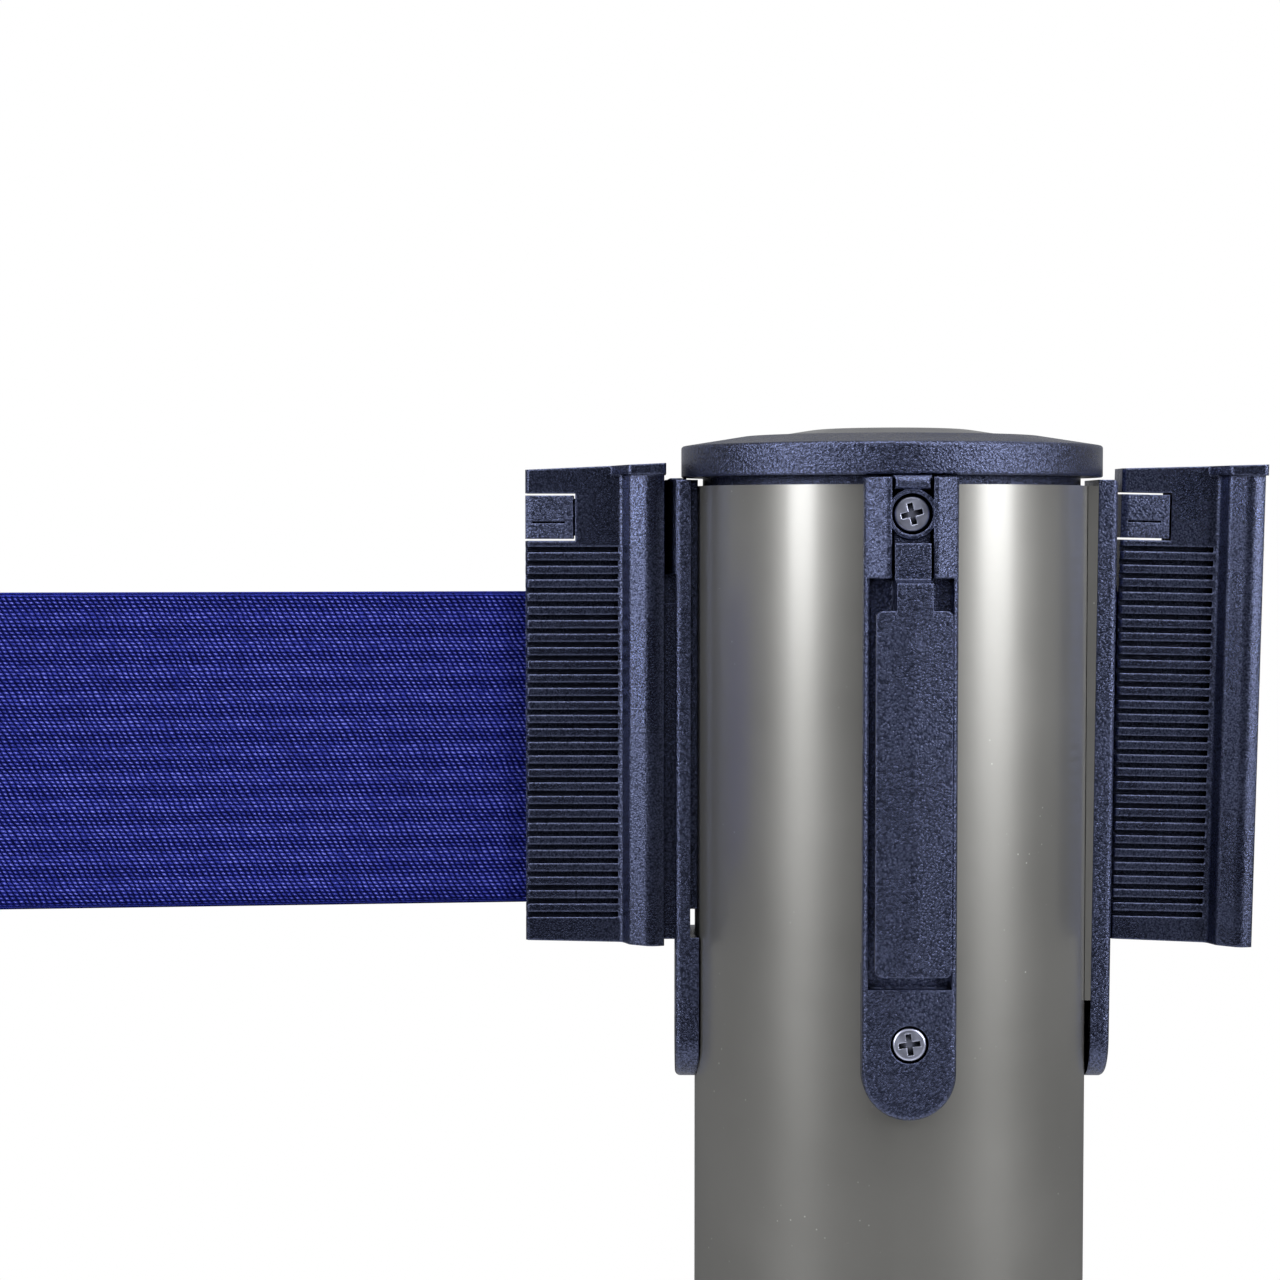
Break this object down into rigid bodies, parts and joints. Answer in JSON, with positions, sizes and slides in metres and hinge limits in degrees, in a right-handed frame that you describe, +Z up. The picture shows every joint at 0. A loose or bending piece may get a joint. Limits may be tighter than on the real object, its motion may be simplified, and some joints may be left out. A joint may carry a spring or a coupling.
{
  "type": "retractable belt stanchion",
  "caption": "Crowd-control post with a round weighted base, a spring-retracted belt in its head, slide-on belt receivers and a neighbouring belt held on one of them.",
  "frame": {"origin": "on the floor, at the centre of the round base under the post's axis", "axes": "+Z up along the post, +X towards the post's own belt outlet, -Y towards the front receiver"},
  "size_m": [0.35, 0.35, 1],
  "materials": {
    "brushed_steel": "satin, lightly polished",
    "cast_iron": "rough cast, painted black",
    "rubber": "matt",
    "zinc_steel": "zinc plated",
    "screw_steel": "bright zinc",
    "spring_steel": "blued spring steel",
    "grained_plastic": "coarse leather grain",
    "shell_plastic": "fine spark-eroded grain",
    "button_plastic": "fine spark-eroded grain",
    "cap_disc_plastic": "smooth, slightly domed",
    "cassette_plastic": "natural acetal",
    "brass": "machined",
    "belt_fabric": "twill woven polyester webbing"
  },
  "bodies": {
    "stanchion": {"back_lower_screw": "screw_steel", "back_upper_screw": "screw_steel", "base_cover": "brushed_steel", "base_weight": "cast_iron", "belt_guide_back": "zinc_steel", "belt_guide_front": "zinc_steel", "belt_lead": "belt_fabric", "bolt_washer": "zinc_steel", "cap_disc": "cap_disc_plastic", "cassette_pillar_1": "zinc_steel", "cassette_pillar_2": "zinc_steel", "cassette_pillar_3": "zinc_steel", "cassette_top": "cassette_plastic", "edge_ring": "rubber", "foot_plug": "zinc_steel", "front_lower_screw": "screw_steel", "front_upper_screw": "screw_steel", "head_cap": "grained_plastic", "left_lower_screw": "screw_steel", "left_upper_screw": "screw_steel", "outlet_backing": "brushed_steel", "outlet_lower_screw": "screw_steel", "outlet_plate": "grained_plastic", "outlet_upper_screw": "screw_steel", "post_bolt": "zinc_steel", "post_collar": "brushed_steel", "post_tube": "brushed_steel", "power_spring": "spring_steel", "receiver_back": "grained_plastic", "receiver_front": "grained_plastic", "receiver_left": "grained_plastic", "spool_shaft": "zinc_steel", "spring_cup": "cassette_plastic", "spring_lid": "cassette_plastic"},
    "own_belt_end": {"own_front_shell": "shell_plastic", "own_rear_shell": "shell_plastic", "own_belt_pin": "zinc_steel", "own_belt_loop": "belt_fabric", "own_upper_screw": "screw_steel", "own_lower_screw": "screw_steel", "own_button_spring": "spring_steel"},
    "own_button": {"own_lock_button": "button_plastic"},
    "incoming_belt_end": {"incoming_front_shell": "shell_plastic", "incoming_rear_shell": "shell_plastic", "incoming_belt_pin": "zinc_steel", "incoming_belt_loop": "belt_fabric", "incoming_upper_screw": "screw_steel", "incoming_lower_screw": "screw_steel", "incoming_button_spring": "spring_steel", "incoming_belt": "belt_fabric", "incoming_belt_hem": "belt_fabric", "incoming_belt_rod": "zinc_steel"},
    "incoming_button": {"incoming_lock_button": "button_plastic"},
    "spool": {"spool": "cassette_plastic", "lower_bush": "brass", "upper_bush": "brass", "belt_roll": "belt_fabric"}
  },
  "joints": [
    {"name": "belt_pull", "type": "slide", "parent": "stanchion", "child": "own_belt_end", "axis": [1, 0, 0], "range_m": [0, 1.9], "stiffness_N_per_m": 2, "springref_m": -1, "deforming": ["belt_lead"]},
    {"name": "spool_spin", "type": "hinge", "parent": "stanchion", "child": "spool", "pos_m": [-0.0045, 0.0055, 0.9484], "axis": [0, 0, 1], "range_deg": [0, 6710], "deforming": ["power_spring"]},
    {"name": "own_button_press", "type": "slide", "parent": "own_belt_end", "child": "own_button", "axis": [0, 1, 0], "range_m": [0, 0.0012], "stiffness_N_per_m": 400, "springref_m": -0.002, "deforming": ["own_button_spring"]},
    {"name": "incoming_lift", "type": "slide", "parent": "stanchion", "child": "incoming_belt_end", "axis": [0, 0, 1], "range_m": [0, 0.06]},
    {"name": "incoming_button_press", "type": "slide", "parent": "incoming_belt_end", "child": "incoming_button", "axis": [0, 1, 0], "range_m": [0, 0.0012], "stiffness_N_per_m": 400, "springref_m": -0.002, "deforming": ["incoming_button_spring"]}
  ],
  "couplings": [
    {"joint": "spool_spin", "follows": "belt_pull", "rad_per_m": 61.6}
  ]
}
